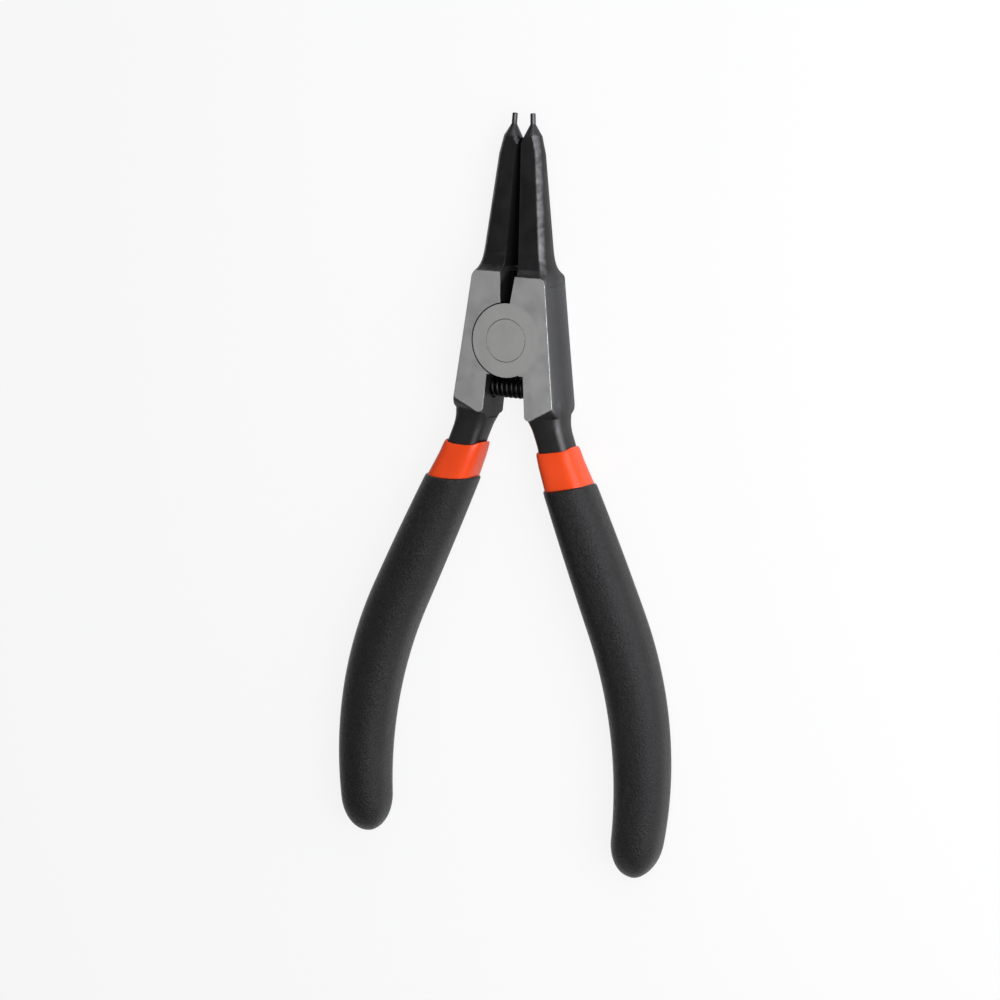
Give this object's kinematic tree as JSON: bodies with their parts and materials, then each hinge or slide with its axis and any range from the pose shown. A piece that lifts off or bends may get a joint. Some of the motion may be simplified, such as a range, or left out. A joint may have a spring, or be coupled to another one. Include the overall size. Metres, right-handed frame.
{
  "type": "external circlip pliers",
  "caption": "Straight-tip external circlip pliers: forged levers on a flush rivet, closed at rest by a coil spring, with dipped grips; squeezing the handles spreads the tips.",
  "frame": {"origin": "on the rivet axis, in the plane of the ground face at the back of the joint", "axes": "+Y along the tool to the tips, +X to the right-hand lever, +Z along the rivet axis out of the front face"},
  "size_m": [0.0688, 0.1398, 0.0103],
  "materials": {
    "forged_steel": "black oxide with ground joint faces",
    "ground_steel": "satin ground",
    "spring_steel": "black oiled",
    "orange_sleeve": "glossy dipped vinyl",
    "black_grip": "matte foamed vinyl"
  },
  "bodies": {
    "left_half": {"left_lever": "forged_steel", "pivot_rivet": "ground_steel", "return_spring": "spring_steel", "left_inner_sleeve": "orange_sleeve", "left_grip": "black_grip"},
    "right_half": {"right_lever": "forged_steel", "right_inner_sleeve": "orange_sleeve", "right_grip": "black_grip"}
  },
  "joints": [
    {"name": "squeeze", "type": "hinge", "parent": "left_half", "child": "right_half", "pos_m": [0, 0, 0.00425], "axis": [0, 0, -1], "range_deg": [0, 22], "stiffness_Nm_per_rad": 0.4, "springref_deg": -20.05, "deforming": ["return_spring"]}
  ]
}
